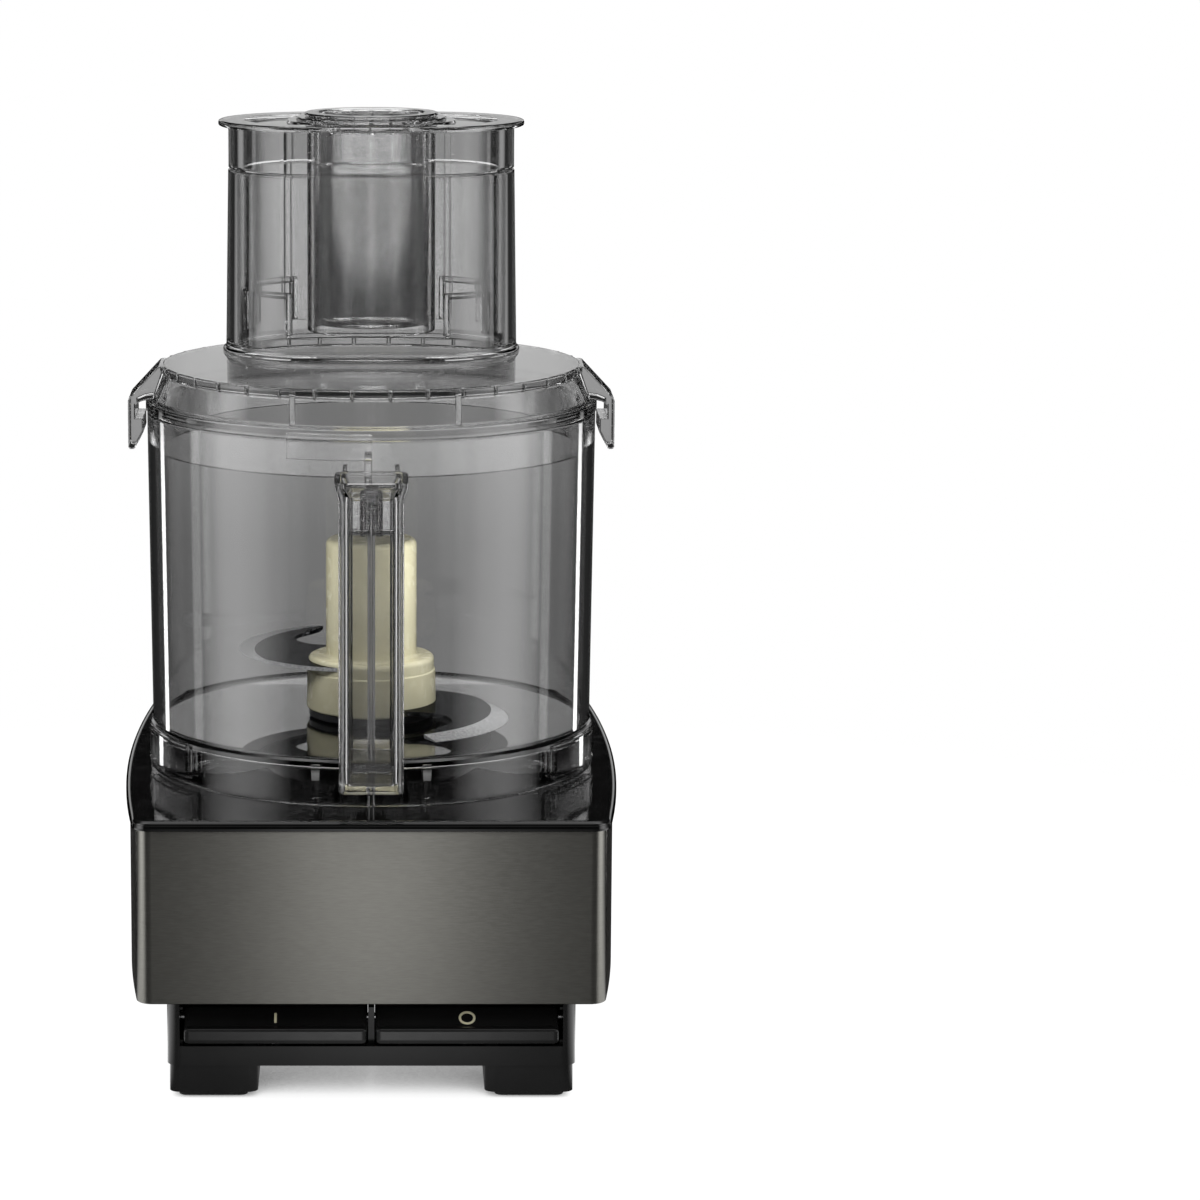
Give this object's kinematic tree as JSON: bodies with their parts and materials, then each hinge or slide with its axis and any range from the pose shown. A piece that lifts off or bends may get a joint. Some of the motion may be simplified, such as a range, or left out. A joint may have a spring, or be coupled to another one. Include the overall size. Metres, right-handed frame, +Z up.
{
  "type": "food processor",
  "caption": "Countertop food processor: motor base with steel band and control levers, clear turn-lock bowl with handle, sickle blades, and a lid with a wide feed tube and nested pushers.",
  "frame": {"origin": "on the drive axis, at the surface that the rubber feet stand on", "axes": "+Z up along the drive axis, -Y the front with the handle and the control levers, +X to the right seen from the front"},
  "size_m": [0.2008, 0.276, 0.3769],
  "materials": {
    "gloss_black": "high gloss black moulding",
    "black_plastic": "satin black moulding",
    "rubber": "matt",
    "black_stainless": "dark stainless steel, brushed along its length",
    "steel": "ground steel",
    "blade_steel": "polished stainless steel with a ground edge",
    "electrical_steel": "laminated steel",
    "cast_aluminium": "as cast",
    "copper": "enamelled copper wire",
    "circuit_board": "green solder mask",
    "switch_plastic": "moulded",
    "ivory_plastic": "satin ivory moulding",
    "grey_plastic": "satin dark grey moulding",
    "smoked_clear": "polished clear smoked polymer"
  },
  "bodies": {
    "base": {"top_deck": "gloss_black", "steel_band": "black_stainless", "band_carrier": "black_plastic", "lower_housing": "black_plastic", "base_plate": "black_plastic", "base_screws": "steel", "foot_front_left": "rubber", "foot_front_right": "rubber", "foot_rear_left": "rubber", "foot_rear_right": "rubber", "drive_column": "gloss_black", "shaft_seal": "rubber", "motor_stator": "electrical_steel", "stator_windings": "copper", "upper_bracket": "cast_aluminium", "lower_bracket": "cast_aluminium", "upper_bearing": "steel", "lower_bearing": "steel", "motor_bolts": "steel", "motor_spacers": "steel", "run_capacitor": "cast_aluminium", "control_board": "circuit_board", "on_switch": "switch_plastic", "pulse_switch": "switch_plastic", "interlock_switch": "switch_plastic", "lever_pivot_rod": "steel", "on_spring": "steel", "pulse_spring": "steel", "cord_gland": "rubber"},
    "on_lever": {"on_lever": "black_plastic"},
    "off_pulse_lever": {"off_pulse_lever": "black_plastic"},
    "interlock_button": {"interlock_button": "black_plastic"},
    "rotor": {"motor_shaft": "steel", "rotor_core": "electrical_steel", "cooling_fan": "black_plastic"},
    "blade": {"blade_hub": "ivory_plastic", "hub_ring": "grey_plastic", "upper_blade": "blade_steel", "lower_blade": "blade_steel"},
    "bowl": {"work_bowl": "smoked_clear", "bowl_handle": "smoked_clear", "rod_spring": "steel"},
    "interlock_rod": {"interlock_rod": "smoked_clear"},
    "lid": {"lid_cover": "smoked_clear", "feed_tube": "smoked_clear"},
    "large_pusher": {"large_pusher": "smoked_clear", "pusher_collar": "smoked_clear"},
    "small_pusher": {"small_pusher": "smoked_clear"}
  },
  "joints": [
    {"name": "shaft_spin", "type": "hinge", "parent": "base", "child": "rotor", "pos_m": [0, 0, 0.15], "axis": [0, 0, 1], "continuous": true},
    {"name": "blade_lift", "type": "slide", "parent": "rotor", "child": "blade", "axis": [0, 0, 1], "range_m": [0, 0.06]},
    {"name": "bowl_turn", "type": "hinge", "parent": "base", "child": "bowl", "pos_m": [0, 0, 0.12], "axis": [0, 0, 1], "range_deg": [-25, 0]},
    {"name": "interlock_rod_slide", "type": "slide", "parent": "bowl", "child": "interlock_rod", "axis": [0, 0, 1], "range_m": [-0.004, 0], "stiffness_N_per_m": 150, "springref_m": 0.004, "deforming": ["rod_spring"]},
    {"name": "interlock_button_slide", "type": "slide", "parent": "base", "child": "interlock_button", "axis": [0, 0, 1], "range_m": [-0.004, 0]},
    {"name": "lid_lift", "type": "slide", "parent": "bowl", "child": "lid", "axis": [0, 0, 1], "range_m": [0, 0.16]},
    {"name": "large_pusher_slide", "type": "slide", "parent": "lid", "child": "large_pusher", "axis": [0, 0, 1], "range_m": [0, 0.09]},
    {"name": "small_pusher_slide", "type": "slide", "parent": "large_pusher", "child": "small_pusher", "axis": [0, 0, 1], "range_m": [0, 0.09]},
    {"name": "on_press", "type": "hinge", "parent": "base", "child": "on_lever", "pos_m": [-0.0377, -0.097, 0.031], "axis": [1, 0, 0], "range_deg": [0, 6], "stiffness_Nm_per_rad": 0.25, "springref_deg": -5.73, "deforming": ["on_spring"]},
    {"name": "off_pulse_press", "type": "hinge", "parent": "base", "child": "off_pulse_lever", "pos_m": [0.0377, -0.097, 0.031], "axis": [1, 0, 0], "range_deg": [0, 6], "stiffness_Nm_per_rad": 0.25, "springref_deg": -5.73, "deforming": ["pulse_spring"]}
  ],
  "couplings": [
    {"joint": "interlock_button_slide", "follows": "interlock_rod_slide", "ratio": 1}
  ]
}
